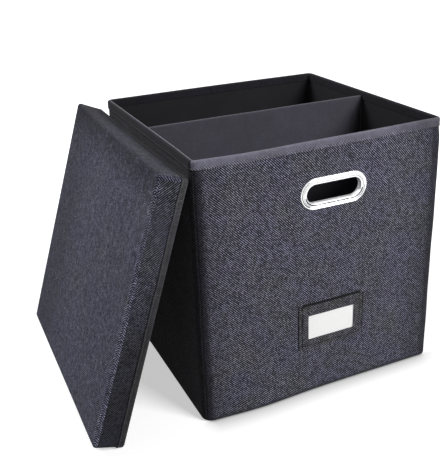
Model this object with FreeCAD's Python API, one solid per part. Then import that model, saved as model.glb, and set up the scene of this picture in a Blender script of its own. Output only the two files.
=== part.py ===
import FreeCAD, Part
import math
import os

# Cloth-covered record case with a lift-off lid that leans on its left wall.
# Sizes are in millimetres. X runs along the front to the right, Y to the back, Z up.
# The origin is on the floor under the middle of the case.

# Case, outside sizes over the cloth
case_width = 360.0
case_depth = 345.0
case_height = 369.0
case_corner_radius = 9.0
case_foot_radius = 6.0

# Layers of every wall, from the outside in
cloth_thickness = 1.2
board_thickness = 3.5
lining_thickness = 0.8

# Boards keep this far from the rounded corners, and each side wall has two with a crease between
board_edge_gap = 1.0
crease_width = 6.0

# Hem folded over the top of the walls
hem_height = 12.0
hem_leg = 0.8
hem_top = 2.0
hem_roll_radius = 1.6
hem_inner_bevel = 1.2

# Oval hand holes in the front and the back wall, with a flanged metal ring in each
hole_width = 81.0
hole_height = 26.0
hole_centre_x = 12.8
hole_below_rim = 71.5
ring_flange = 8.3
ring_crown = 2.6
ring_mouth = 1.3
ring_crown_shares = [(0.22, 0.95), (0.62, 0.95), (0.86, 0.55)]
ring_neck = 1.0
ring_hole_gap = 0.2
clinch_width = 2.2
clinch_thickness = 0.6
washer_flange = 6.5
washer_thickness = 1.2

# Label pocket sewn on the front wall, open at the top
pocket_width = 103.0
pocket_height = 69.0
pocket_centre_x = 12.2
pocket_above_floor = 71.6
pocket_corner_radius = 3.0
pocket_cloth = 0.8
pocket_gap = 1.2
pocket_seam = 7.0
window_border_left = 15.3
window_border_right = 15.8
window_border_top = 17.5
window_border_foot = 16.0
window_corner_radius = 1.5
window_film = 0.3
window_overlap = 4.0
card_thickness = 0.3
card_clearance = 0.3
card_side_clearance = 2.5
card_below_mouth = 6.2

# Loose base board, cloth-wrapped on top and turned in underneath
base_core = 3.5
base_wrap = 0.8
base_turn_in = 22.0
base_corner_radius = 3.0
base_side_clearance = 1.5
base_front_clearance = 2.4

# Divider that stands on the base board across the case
divider_core = 3.5
divider_sleeve = 0.8
divider_top_radius = 1.8
divider_centre_y = 8.0
divider_below_rim = 6.0
divider_side_clearance = 1.5

# Loose pieces lie this far from what carries them
seat_gap = 0.3

# Lid, a shallow tray that goes over the case with room on each side
lid_margin = 9.0
lid_height = 39.0
lid_corner_radius = 9.0
lid_edge_radius = 6.0
lid_board = 2.5
lid_hem_height = 10.0

# Lid's leaning place
lid_tilt = 17.8
lid_shift_back = 21.0

# Cuts run past their faces by this much
overrun = 5.0

X = FreeCAD.Vector(1, 0, 0)
Y = FreeCAD.Vector(0, 1, 0)
Z = FreeCAD.Vector(0, 0, 1)
ORIGIN = FreeCAD.Vector(0, 0, 0)

case_layers = cloth_thickness + board_thickness + lining_thickness
lid_layers = cloth_thickness + lid_board + lining_thickness
front_y = -case_depth / 2
hole_centre_z = case_height - hole_below_rim
pocket_top = pocket_above_floor + pocket_height
window_width = pocket_width - window_border_left - window_border_right
window_height = pocket_height - window_border_top - window_border_foot
window_centre_x = pocket_centre_x + (window_border_left - window_border_right) / 2
window_centre_z = pocket_above_floor + window_border_foot + window_height / 2


def span(x0, x1, y0, y1, z0, z1):
    """Box between two values on each axis."""
    return Part.makeBox(x1 - x0, y1 - y0, z1 - z0, FreeCAD.Vector(x0, y0, z0))


def outline_wire(width, depth, radius):
    """Rounded rectangle about the origin, in the XY plane."""
    across = width / 2
    along = depth / 2
    if radius <= 0:
        corners = [(-across, -along), (across, -along), (across, along), (-across, along)]
        points = [FreeCAD.Vector(x, y, 0) for x, y in corners]
        return Part.makePolygon(points + points[:1])
    edges = []
    centres = [
        (across - radius, along - radius),
        (radius - across, along - radius),
        (radius - across, radius - along),
        (across - radius, radius - along),
    ]
    ends = []
    for quarter, (cx, cy) in enumerate(centres):
        turned = [math.radians(90 * quarter + 45 * step) for step in range(3)]
        arc = [FreeCAD.Vector(cx + radius * math.cos(a), cy + radius * math.sin(a), 0) for a in turned]
        edges.append(Part.Arc(*arc).toShape())
        ends.append((arc[0], arc[2]))
    for quarter in range(4):
        start = ends[quarter][1]
        end = ends[(quarter + 1) % 4][0]
        if start.distanceToPoint(end) > 0:
            edges.append(Part.makeLine(start, end))
    return Part.Wire(Part.__sortEdges__(edges))


def column(width, depth, radius, z0, z1):
    """Upright prism on a rounded rectangle."""
    solid = Part.Face(outline_wire(width, depth, radius)).extrude(Z * (z1 - z0))
    solid.translate(Z * z0)
    return solid


def tub(width, depth, z0, z1, corner_radius, foot_radius):
    """Upright prism whose lower edge is rounded as well."""
    solid = column(width, depth, corner_radius, z0, z1)
    foot = [e for e in solid.Edges if e.BoundBox.ZMax - z0 < foot_radius / 2]
    return solid.makeFillet(foot_radius, foot)


def tub_skin(width, depth, height, corner_radius, foot_radius, thickness):
    """Skin of an open tub, one cloth thick."""
    outer = tub(width, depth, 0, height, corner_radius, foot_radius)
    inner = tub(
        width - 2 * thickness,
        depth - 2 * thickness,
        thickness,
        height + overrun,
        corner_radius - thickness,
        foot_radius - thickness,
    )
    return outer.cut(inner)


def wall_sector(width, depth, reach, z0, z1, side):
    """Prism that holds one wall of a tub, mitred at its upright corners. Side 0 is the front."""
    across, along = (width / 2, depth / 2) if side % 2 == 0 else (depth / 2, width / 2)
    corners = [
        (-across - overrun, -along - overrun),
        (across + overrun, -along - overrun),
        (across - reach, -along + reach),
        (-across + reach, -along + reach),
    ]
    points = [FreeCAD.Vector(x, y, z0) for x, y in corners]
    sector = Part.Face(Part.makePolygon(points + points[:1])).extrude(Z * (z1 - z0))
    sector.rotate(ORIGIN, Z, 90 * side)
    return sector


def on_inner_rim(edge, width, depth, top):
    """Whether an edge runs along the top of an opening smaller than this size."""
    box = edge.BoundBox
    farthest_x = max(-box.XMin, box.XMax)
    farthest_y = max(-box.YMin, box.YMax)
    return box.ZMin > top - hem_inner_bevel / 2 and farthest_x < width / 2 and farthest_y < depth / 2


def hem_ring(width, depth, corner_radius, layers, top, height):
    """Channel folded over the top of a tub's walls, rounded outside and bevelled inside."""
    inside_width = width - 2 * layers
    inside_depth = depth - 2 * layers
    ring = column(width + 2 * hem_leg, depth + 2 * hem_leg, corner_radius + hem_leg, top - height, top)
    opening = column(
        inside_width - 2 * hem_leg,
        inside_depth - 2 * hem_leg,
        0,
        top - height - overrun,
        top + overrun,
    )
    rolled = [e for e in ring.Edges if top - e.BoundBox.ZMin < hem_roll_radius / 2]
    ring = ring.makeFillet(hem_roll_radius, rolled).cut(opening)
    bevelled = [e for e in ring.Edges if on_inner_rim(e, inside_width, inside_depth, top)]
    ring = ring.makeChamfer(hem_inner_bevel, bevelled)
    walls = column(width, depth, corner_radius, top - height - overrun, top - hem_top)
    hollow = column(inside_width, inside_depth, 0, top - height - overrun, top - hem_top)
    return ring.cut(walls.cut(hollow))


def hand_hole():
    """Oval prism that cuts the front wall's layers free of the ring's neck."""
    radius = hole_height / 2 + ring_neck + ring_hole_gap
    straight = (hole_width - hole_height) / 2
    through = case_layers + 2 * overrun
    low = FreeCAD.Vector(hole_centre_x, front_y - overrun, hole_centre_z)
    solid = span(-straight, straight, 0, through, -radius, radius)
    solid.translate(low)
    for end in (-straight, straight):
        round_end = Part.makeCylinder(radius, through, low + X * end, Y)
        solid = solid.fuse(round_end)
    return solid.removeSplitter()


def swept_oval(points):
    """Carries a closed section round the hand hole."""
    section = Part.Face(Part.makePolygon(points + points[:1]))
    radius = hole_height / 2
    straight = (hole_width - hole_height) / 2
    middle = FreeCAD.Vector(hole_centre_x, 0, hole_centre_z)
    upper = section.copy()
    upper.translate(middle + Z * radius - X * straight)
    ring = upper.extrude(X * (2 * straight))
    lower = ring.copy()
    lower.rotate(middle, Y, 180)
    right = section.copy()
    right.translate(middle + Z * radius + X * straight)
    right_end = right.revolve(middle + X * straight, Y, 180)
    left_end = right_end.copy()
    left_end.rotate(middle, Y, 180)
    return ring.fuse([lower, right_end, left_end]).removeSplitter()


def ring_point(out, depth):
    """Section point this far out from the opening's edge, at this depth in Y."""
    return FreeCAD.Vector(0, depth, out)


def hand_ring():
    """Front ring: domed flange outside, neck through the wall, edge clinched over the washer."""
    wall_back = front_y + case_layers
    tail = wall_back + washer_thickness
    points = [
        ring_point(ring_flange, front_y),
        ring_point(ring_neck, front_y),
        ring_point(ring_neck, tail),
        ring_point(clinch_width, tail),
        ring_point(clinch_width, tail + clinch_thickness),
        ring_point(0, tail + clinch_thickness),
        ring_point(0, front_y - ring_mouth),
    ]
    for out_share, crown_share in ring_crown_shares:
        points.append(ring_point(ring_flange * out_share, front_y - ring_crown * crown_share))
    return swept_oval(points)


def hand_washer():
    """Flat ring inside the wall, under the clinched edge."""
    wall_back = front_y + case_layers
    points = [
        ring_point(ring_neck, wall_back),
        ring_point(washer_flange, wall_back),
        ring_point(washer_flange, wall_back + washer_thickness),
        ring_point(ring_neck, wall_back + washer_thickness),
    ]
    return swept_oval(points)


def to_back(shape):
    """The same piece on the back wall."""
    return shape.mirror(ORIGIN, Y)


def case_covers():
    """Outer cloth: four walls that turn in round the foot, and the flat panel between them."""
    skin = tub_skin(
        case_width, case_depth, case_height - hem_top, case_corner_radius, case_foot_radius, cloth_thickness
    )
    reach = case_corner_radius + overrun
    flat = column(
        case_width - 2 * case_foot_radius,
        case_depth - 2 * case_foot_radius,
        case_corner_radius - case_foot_radius,
        0,
        case_foot_radius,
    )
    names = ["front_cover", "right_cover", "back_cover", "left_cover"]
    covers = {"bottom_cover": skin.common(flat)}
    for side, name in enumerate(names):
        sector = wall_sector(case_width, case_depth, reach, 0, case_height, side)
        covers[name] = skin.common(sector).cut(flat)
    hole = hand_hole()
    covers["front_cover"] = covers["front_cover"].cut(hole)
    covers["back_cover"] = covers["back_cover"].cut(to_back(hole))
    return covers


def case_boards():
    low = case_foot_radius
    high = case_height - hem_top
    end_gap = case_corner_radius + board_edge_gap
    along_front = case_width / 2 - end_gap
    along_side = case_depth / 2 - end_gap
    y0 = front_y + cloth_thickness
    front = span(-along_front, along_front, y0, y0 + board_thickness, low, high).cut(hand_hole())
    boards = {"front_board": front, "back_board": to_back(front)}
    x1 = case_width / 2 - cloth_thickness
    for side, sign in (("left", -1), ("right", 1)):
        inner, outer = sorted((sign * x1, sign * (x1 - board_thickness)))
        fold = crease_width / 2
        boards[side + "_board_front"] = span(inner, outer, -along_side, -fold, low, high)
        boards[side + "_board_rear"] = span(inner, outer, fold, along_side, low, high)
    return boards


def case_linings():
    low = case_foot_radius
    high = case_height - hem_top
    outer_x = case_width / 2 - cloth_thickness - board_thickness
    inner_x = outer_x - lining_thickness
    y0 = front_y + cloth_thickness + board_thickness
    y1 = y0 + lining_thickness
    front = span(-outer_x, outer_x, y0, y1, low, high).cut(hand_hole())
    return {
        "front_lining": front,
        "back_lining": to_back(front),
        "left_lining": span(-outer_x, -inner_x, y1, -y1, low, high),
        "right_lining": span(inner_x, outer_x, y1, -y1, low, high),
    }


def plate_on_front(width, height, centre_x, centre_z, radius, y0, y1):
    """Rounded plate parallel to the front wall, between two depths."""
    plate = column(width, height, radius, 0, y1 - y0)
    plate.rotate(ORIGIN, X, 90)
    plate.translate(FreeCAD.Vector(centre_x, y1, centre_z))
    return plate


def label_pocket():
    """Cloth patch with a window, held off the wall by its seams on three sides."""
    face = front_y - pocket_gap - pocket_cloth
    half_inside = pocket_width / 2 - pocket_seam
    centre_z = pocket_above_floor + pocket_height / 2
    patch = plate_on_front(
        pocket_width, pocket_height, pocket_centre_x, centre_z, pocket_corner_radius, face, front_y
    )
    slot = span(
        pocket_centre_x - half_inside,
        pocket_centre_x + half_inside,
        front_y - pocket_gap,
        front_y + overrun,
        pocket_above_floor + pocket_seam,
        pocket_top + overrun,
    )
    opening = plate_on_front(
        window_width,
        window_height,
        window_centre_x,
        window_centre_z,
        window_corner_radius,
        face - overrun,
        front_y,
    )
    return patch.cut(slot).cut(opening)


def label_window():
    """Clear film behind the patch's opening."""
    grow = 2 * window_overlap
    y0 = front_y - pocket_gap
    return plate_on_front(
        window_width + grow,
        window_height + grow,
        window_centre_x,
        window_centre_z,
        0,
        y0,
        y0 + window_film,
    )


def label_card():
    """Blank card that stands in the pocket."""
    y0 = front_y - pocket_gap + window_film + card_clearance
    low = pocket_above_floor + pocket_seam + seat_gap
    across = pocket_width / 2 - pocket_seam - card_side_clearance
    high = pocket_top - card_below_mouth
    return span(pocket_centre_x - across, pocket_centre_x + across, y0, y0 + card_thickness, low, high)


def base_board():
    """Board wrapped in cloth, which is turned in under its edges."""
    width = case_width - 2 * case_layers - 2 * base_side_clearance
    depth = case_depth - 2 * case_layers - 2 * base_front_clearance
    low = cloth_thickness + seat_gap
    high = low + base_core + 2 * base_wrap
    outside = column(width, depth, base_corner_radius, low, high)
    core = column(
        width - 2 * base_wrap,
        depth - 2 * base_wrap,
        base_corner_radius - base_wrap,
        low + base_wrap,
        high - base_wrap,
    )
    bare = column(width - 2 * base_turn_in, depth - 2 * base_turn_in, 0, low - overrun, low + base_wrap)
    return {"base_board_core": core, "base_board_wrap": outside.cut(core).cut(bare)}


def divider():
    """Board with a cloth sleeve, open along its foot."""
    width = case_width - 2 * case_layers - 2 * divider_side_clearance
    thick = divider_core + 2 * divider_sleeve
    low = cloth_thickness + seat_gap + base_core + 2 * base_wrap + seat_gap
    high = case_height - divider_below_rim
    y0 = divider_centre_y - thick / 2
    outside = span(-width / 2, width / 2, y0, y0 + thick, low, high)
    rolled = [e for e in outside.Edges if high - e.BoundBox.ZMin < divider_top_radius / 2]
    outside = outside.makeFillet(divider_top_radius, rolled)
    half_core = width / 2 - divider_sleeve
    core_top = high - 2 * divider_sleeve
    core = span(-half_core, half_core, y0 + divider_sleeve, y0 + thick - divider_sleeve, low, core_top)
    return {"divider_board": core, "divider_sleeve": outside.cut(core)}


def lid_pieces():
    """Lid as an open tub standing on its outer face."""
    long_side = case_width + 2 * lid_margin
    short_side = case_depth + 2 * lid_margin
    high = lid_height - hem_top
    end_gap = lid_corner_radius + board_edge_gap
    along_long = long_side / 2 - end_gap
    along_short = short_side / 2 - end_gap
    under = cloth_thickness + lid_board
    pieces = {
        "lid_cover": tub_skin(
            long_side, short_side, high, lid_corner_radius, lid_edge_radius, cloth_thickness
        ),
        "lid_hem": hem_ring(
            long_side, short_side, lid_corner_radius, lid_layers, lid_height, lid_hem_height
        ),
        "lid_top_board": span(
            -along_long, along_long, -along_short, along_short, cloth_thickness, under
        ),
    }
    y0 = -short_side / 2 + cloth_thickness
    x1 = long_side / 2 - cloth_thickness
    near = span(-along_long, along_long, y0, y0 + lid_board, lid_edge_radius, high)
    right = span(x1 - lid_board, x1, -along_short, along_short, lid_edge_radius, high)
    pieces["lid_foot_board"] = near
    pieces["lid_head_board"] = near.mirror(ORIGIN, Y)
    pieces["lid_rear_board"] = right
    pieces["lid_front_board"] = right.mirror(ORIGIN, X)
    outside = column(long_side - 2 * under, short_side - 2 * under, 0, under, high)
    hollow = column(
        long_side - 2 * lid_layers, short_side - 2 * lid_layers, 0, under + lining_thickness, high + overrun
    )
    pieces["lid_lining"] = outside.cut(hollow)
    return pieces


def lean(shape):
    """Stands the lid on one long edge and leans its opposite edge on the left wall."""
    tilt = math.radians(lid_tilt)
    placed = shape.copy()
    placed.rotate(ORIGIN, Z, 90)
    placed.rotate(ORIGIN, Y, 90 + lid_tilt)
    half_slope = case_depth / 2 + lid_margin + hem_leg - hem_roll_radius
    rim = lid_height - hem_roll_radius
    reach_down = half_slope * math.cos(tilt) + rim * math.sin(tilt) + hem_roll_radius
    reach_right = half_slope * math.sin(tilt) + rim * math.cos(tilt) + hem_roll_radius
    touch_x = -case_width / 2 - seat_gap
    placed.translate(FreeCAD.Vector(touch_x - reach_right, lid_shift_back, reach_down))
    return placed


def save(name, shape):
    solids = shape.Solids
    whole = solids[0] if len(solids) == 1 else Part.makeCompound(solids)
    whole.exportStep(os.path.join("parts", name + ".step"))
    print(name, len(solids), whole.isValid(), round(whole.Volume))


def main():
    os.makedirs("parts", exist_ok=True)
    nodes = {}
    nodes.update(case_covers())
    nodes.update(case_boards())
    nodes.update(case_linings())
    nodes["rim_hem"] = hem_ring(
        case_width, case_depth, case_corner_radius, case_layers, case_height, hem_height
    )
    ring = hand_ring()
    washer = hand_washer()
    nodes["front_hand_ring"] = ring
    nodes["front_hand_washer"] = washer
    nodes["back_hand_ring"] = to_back(ring)
    nodes["back_hand_washer"] = to_back(washer)
    nodes["label_pocket"] = label_pocket()
    nodes["label_window"] = label_window()
    nodes["label_card"] = label_card()
    nodes.update(base_board())
    nodes.update(divider())
    for name, shape in lid_pieces().items():
        nodes[name] = lean(shape)
    for name, shape in nodes.items():
        save(name, shape)


main()
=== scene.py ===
import math

import bpy
import numpy as np
from mathutils import Matrix, Vector


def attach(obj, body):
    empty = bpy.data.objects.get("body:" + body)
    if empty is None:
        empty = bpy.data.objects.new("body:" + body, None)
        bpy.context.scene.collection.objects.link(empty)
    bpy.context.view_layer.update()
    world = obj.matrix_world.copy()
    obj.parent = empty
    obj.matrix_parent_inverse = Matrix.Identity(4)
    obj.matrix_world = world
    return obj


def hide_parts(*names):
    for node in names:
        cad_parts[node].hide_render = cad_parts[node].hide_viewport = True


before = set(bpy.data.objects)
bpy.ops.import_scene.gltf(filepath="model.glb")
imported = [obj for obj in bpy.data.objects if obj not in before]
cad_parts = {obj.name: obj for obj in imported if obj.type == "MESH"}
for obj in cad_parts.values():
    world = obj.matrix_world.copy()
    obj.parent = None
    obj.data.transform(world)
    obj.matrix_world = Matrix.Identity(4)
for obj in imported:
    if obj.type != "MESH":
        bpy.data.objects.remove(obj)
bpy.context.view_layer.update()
scene = bpy.context.scene
print("frame loaded:", len(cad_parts), "nodes")

# camera: place in metres, angles in degrees, shift as a share of the picture's long side
camera = {
    "place": (-0.466198, -0.928253, 0.63365), "azimuth": 24.313, "down": 22.301, "roll": -1.994,
    "lens": 58.631, "sensor": 36.0, "shift": (-0.03314, -0.03303), "clip": (0.05, 50),
}


def addObject(name, data):
    thing = bpy.data.objects.new(name, data)
    scene.collection.objects.link(thing)
    return thing


def placeCamera(look):
    # from looking straight down: rolled, raised until it looks down by its slope, and turned to its azimuth
    azimuth, down, roll = (math.radians(look[k]) for k in ("azimuth", "down", "roll"))
    turn = Matrix.Rotation(-azimuth, 4, "Z") @ Matrix.Rotation(math.pi / 2 - down, 4, "X")
    data = bpy.data.cameras.new("photoCamera")
    data.lens, data.sensor_width = look["lens"], look["sensor"]
    data.shift_x, data.shift_y = look["shift"]
    data.clip_start, data.clip_end = look["clip"]
    scene.camera = addObject("photoCamera", data)
    scene.camera.matrix_world = Matrix.Translation(look["place"]) @ turn @ Matrix.Rotation(roll, 4, "Z")


placeCamera(camera)
scene.view_settings.view_transform = "Standard"
print("camera placed")

# The case in metres: its size over the cloth, its layers, and how its walls leave a plain box. Pairs are heights
# between which something fades.
case = {
    "width": 0.360, "depth": 0.345, "height": 0.369, "cornerRadius": 0.009, "footRadius": 0.006,
    "cloth": 0.0012, "board": 0.0035, "lining": 0.0008, "underHem": 0.0035,
    "frontBow": 0.0045, "frontBowLean": 0.55, "backBow": 0.002, "bowSteepness": 6.0,
    "dip": 0.0027, "dipAt": -0.65, "dipWidth": 0.45,
    "footBow": 0.004, "footAt": -0.55, "footWidth": 0.35, "footHeight": 0.045,
    "sideBow": 0.0012, "sideRise": (0.1, 0.27), "sideFall": (0.345, 0.357),
    "leftRounding": 0.0055, "rightRounding": -0.0025, "roundingFall": (0.332, 0.356),
    "ripple": 0.00012, "rippleRise": 0.03, "grid": 0.004,
}
layers = case["cloth"] + case["board"] + case["lining"]
frontY = -case["depth"] / 2
inside = (0, 0, case["height"] / 2)
wallNames = ["front", "right", "back", "left"]

# the lid in metres, its tilt in degrees; its origin is the middle of the outer face
lid = {
    "longSide": 0.378, "shortSide": 0.363, "height": 0.039, "cornerRadius": 0.0058, "edgeRadius": 0.0048,
    "cloth": 0.0012, "board": 0.0025, "lining": 0.0008, "tilt": 17.8, "origin": (-0.272749, 0.021, 0.185083),
    "grid": 0.006,
}
lidLayers = lid["cloth"] + lid["board"] + lid["lining"]
lidMiddle = (0, 0, 0.019)


def lidPlace():
    # the lid's own X runs along world Y, its Y up the slope, its Z from the outer face to the rim
    tilt = math.radians(lid["tilt"])
    slope = Vector((math.sin(tilt), 0, math.cos(tilt)))
    depth = Vector((math.cos(tilt), 0, -math.sin(tilt)))
    turn = Matrix((Vector((0, 1, 0)), slope, depth)).transposed().to_4x4()
    return Matrix.Translation(lid["origin"]) @ turn


def fill(tree, target, values):
    # feeds a node's inputs by name or by number: a link where the value is a socket, and a plain value otherwise
    for key, value in values.items() if isinstance(values, dict) else enumerate(values):
        if isinstance(value, bpy.types.NodeSocket):
            tree.links.new(value, target.inputs[key])
        elif value is not None:
            target.inputs[key].default_value = value


def node(tree, kind, values=(), output=0, **settings):
    # makes a node, and gives one of its outputs, or all where output is None
    made = tree.nodes.new("ShaderNode" + kind)
    for key, value in settings.items():
        setattr(made, key, value)
    fill(tree, made, values)
    return made.outputs if output is None else made.outputs[output]


def calc(tree, operation, *values):
    return node(tree, "Math", values, operation=operation)


def times(tree, first, second):
    return calc(tree, "MULTIPLY", first, second)


def towards(tree, share, value, goal):
    # value + share * (goal - value)
    return calc(tree, "MULTIPLY_ADD", share, calc(tree, "SUBTRACT", goal, value), value)


def noise(tree, vector, scale, detail=2.0, roughness=0.5):
    values = {"Vector": vector, "Scale": scale, "Detail": detail, "Roughness": roughness}
    return node(tree, "TexNoise", values, "Fac")


def combine(tree, *values):
    return node(tree, "CombineXYZ", values)


def separate(tree, vector):
    return node(tree, "SeparateXYZ", [vector], None)


def scaled(tree, vector, factor):
    return node(tree, "VectorMath", {0: vector, "Scale": factor}, operation="SCALE")


def spread(tree, value, low, high, toLow=0.0, toHigh=1.0):
    # maps low..high to toLow..toHigh and holds the ends
    return node(tree, "MapRange", (value, low, high, toLow, toHigh))


def blendColour(tree, share, first, second):
    return node(tree, "Mix", {0: share, 6: first, 7: second}, 2, data_type="RGBA")


def bump(tree, height, distance, strength=1.0, under=None):
    return node(tree, "Bump", {"Height": height, "Distance": distance, "Strength": strength, "Normal": under})


def linear(colour):
    # a colour picked on screen, 0 to 255, as the linear value that a shader takes
    c = np.asarray(colour, float) / 255
    c = np.where(c <= 0.04045, c / 12.92, ((c + 0.055) / 1.055) ** 2.4)
    return (*c.tolist(), 1.0)


def newMaterial(name):
    made = bpy.data.materials.new(name)
    made.use_nodes = True
    tree = made.node_tree
    return made, tree, tree.nodes["Principled BSDF"]


def objectPoint(tree):
    return node(tree, "TexCoord", output="Object")


# metres from a wall's end, and heights, between which the cloth passes from woven to pulled smooth and painted
# darker, as shade
smoothShade = {"across": (0.017, 0.010), "along": (0.015, 0.005), "foot": (0.010, 0.006)}


def smoothShadeShare(tree):
    # 1 where the cloth is pulled smooth round an upright corner or turns in at the foot, and is painted darker there
    # as shade, 0 on the walls
    x, y, z = separate(tree, objectPoint(tree))
    shares = []
    for axis, side, ends in ((x, case["width"], smoothShade["across"]), (y, case["depth"], smoothShade["along"])):
        shares.append(spread(tree, calc(tree, "ABSOLUTE", axis), *(side / 2 - end for end in ends)))
    return calc(tree, "MAXIMUM", times(tree, *shares), spread(tree, z, *smoothShade["foot"]))


def settle(tree, tone, share, most, keep, level):
    # where the share is 1, most of the tone gives way to keep * tone + level
    return towards(tree, times(tree, share, most), tone, calc(tree, "MULTIPLY_ADD", tone, keep, level))


# the slow drift of a thread's tone: the step from thread to thread, and the pace along it
drifting = {"step": (7.31, 5.77), "pace": 0.11, "seed": (1.7, 9.2)}


def wovenMaterial(name, look):
    # Diagonal weave on the piece's UV, which is in metres. A pale thread lies where
    # ((1 - cos(pi (u + lean v))) / 2) ^ sharp is near 1, broken into beads of height sin(pi u) sin(pi v), one a
    # crossing. Each thread's tone drifts along its length, and every bead has a tone of its own.
    made, tree, shader = newMaterial(name)
    uv = node(tree, "UVMap")
    wander = calc(tree, "SUBTRACT", noise(tree, uv, 1 / look["wanderSize"], 1.0), 0.5)
    wander = times(tree, wander, look["wander"])
    across, up, _ = separate(tree, uv)
    u, v = (calc(tree, "MULTIPLY_ADD", length, 1 / look["pitch"], wander) for length in (across, up))
    columnOf, rowOf = calc(tree, "FLOOR", u), calc(tree, "FLOOR", v)
    bead = times(tree, *(calc(tree, "ABSOLUTE", calc(tree, "SINE", times(tree, x, math.pi))) for x in (u, v)))
    line = calc(tree, "COSINE", times(tree, calc(tree, "MULTIPLY_ADD", v, look["lean"], u), math.pi))
    line = calc(tree, "POWER", calc(tree, "MULTIPLY_ADD", line, -0.5, 0.5), look["sharp"])
    cell = node(tree, "TexWhiteNoise", {"Vector": combine(tree, columnOf, rowOf)}, "Value", noise_dimensions="2D")
    axes = separate(tree, objectPoint(tree))
    pace, (stepOver, stepUp), seed = drifting["pace"], drifting["step"], drifting["seed"]
    threads = {
        "pale": combine(tree, times(tree, columnOf, stepOver), times(tree, v, pace), seed[0]),
        "dark": combine(tree, times(tree, u, pace), times(tree, rowOf, stepUp), seed[1]),
    }
    tones = {}
    for kind, at in threads.items():
        slub = spread(tree, noise(tree, at, 1.0, 1.0), 0.3, 0.7, 1 - look["slub"], 1 + look["slub"])
        tones[kind] = times(tree, slub, look[kind])
        if "edge" in look:
            # painted highlight along the fold at the lid's front end: the pale threads stand out more and the dark
            # ones sink, partly the pale flecks of the rolled cloth
            edge = look["edge"]
            tones[kind] = times(tree, tones[kind], spread(tree, axes[1], edge["from"], edge["to"], 1, edge[kind]))
    tone = towards(tree, line, tones["dark"], tones["pale"])
    tone = times(tree, tone, spread(tree, cell, 0, 1, 1 - look["cell"], 1 + look["cell"]))
    # towards the edges of each bead the tone drops by reliefShade: partly the gaps between the threads, partly
    # painted shade of the beads' relief
    tone = times(tree, tone, calc(tree, "MULTIPLY_ADD", bead, look["reliefShade"], 1 - look["reliefShade"]))
    if "calm" in look:
        # from its lower edge upwards the weave gives way to a pressed, even tone
        low, high, *goal = look["calm"]
        tone = settle(tree, tone, spread(tree, up, low, high), *goal)
    drift = noise(tree, uv, 1 / look["driftSize"], 4.0, 0.62)
    tone = times(tree, tone, spread(tree, drift, 0.25, 0.75, 1 - look["drift"], 1 + look["drift"]))
    # painted shade: round the upright corners and at the foot the weave gives way to an even, darker tone
    if "smoothShade" in look:
        tone = settle(tree, tone, smoothShadeShare(tree), *look["smoothShade"])
    if "lowShade" in look:
        # painted shade: towards the floor the weave gives way to an even, darker tone
        low, high, *goal = look["lowShade"]
        tone = settle(tree, tone, spread(tree, axes[2], low, high, 1, 0), *goal)
    for axis, start, end, first, last in look["paintedShades"]:
        # painted light and shade: along one axis the tone's factor passes from first to last between two places
        tone = times(tree, tone, spread(tree, axes[axis], start, end, first, last))
    tint = spread(tree, noise(tree, uv, 1 / look["tintSize"]), 0.35, 0.65)
    tint = blendColour(tree, tint, *map(linear, look["colours"]))
    fuzzSize, fuzzHeight, fuzzBump = look["fuzz"]
    fuzz = bump(tree, noise(tree, uv, 1 / fuzzSize), fuzzHeight, fuzzBump)
    fill(tree, shader, {
        "Base Color": scaled(tree, tint, tone), "Roughness": look["roughness"], "Specular IOR Level": look["gloss"],
        "Sheen Weight": look["sheen"], "Normal": bump(tree, bead, look["height"], look["bump"], fuzz)})
    return made


# Lengths in metres, colours as seen on screen, tones as factors of them. Painted shades are (axis, start, end, first,
# last): light and shade painted into the tone along one axis.
coarse = {
    "pitch": 0.0017, "wander": 1.2, "wanderSize": 0.03, "lean": 1.0, "slub": 0.3, "cell": 0.6, "reliefShade": 0.25,
    "drift": 0.2, "driftSize": 0.02, "tintSize": 0.05, "roughness": 0.92, "gloss": 0.12, "sheen": 0.05,
    "height": 0.0003, "bump": 0.5, "fuzz": (0.0004, 0.0001, 0.4), "paintedShades": [],
}
folded = {
    **coarse, "wander": 0.8, "wanderSize": 0.02, "reliefShade": 0.2, "driftSize": 0.015, "tintSize": 0.06,
    "roughness": 0.9, "gloss": 0.15, "sheen": 0.1, "height": 0.0002,
}
fine = {
    **coarse, "wander": 0.5, "wanderSize": 0.02, "pale": 1.4, "dark": 0.8, "sharp": 1.0, "slub": 0.1,
    "reliefShade": 0.2, "tintSize": 0.09, "roughness": 0.85, "bump": 0.4,
}
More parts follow.
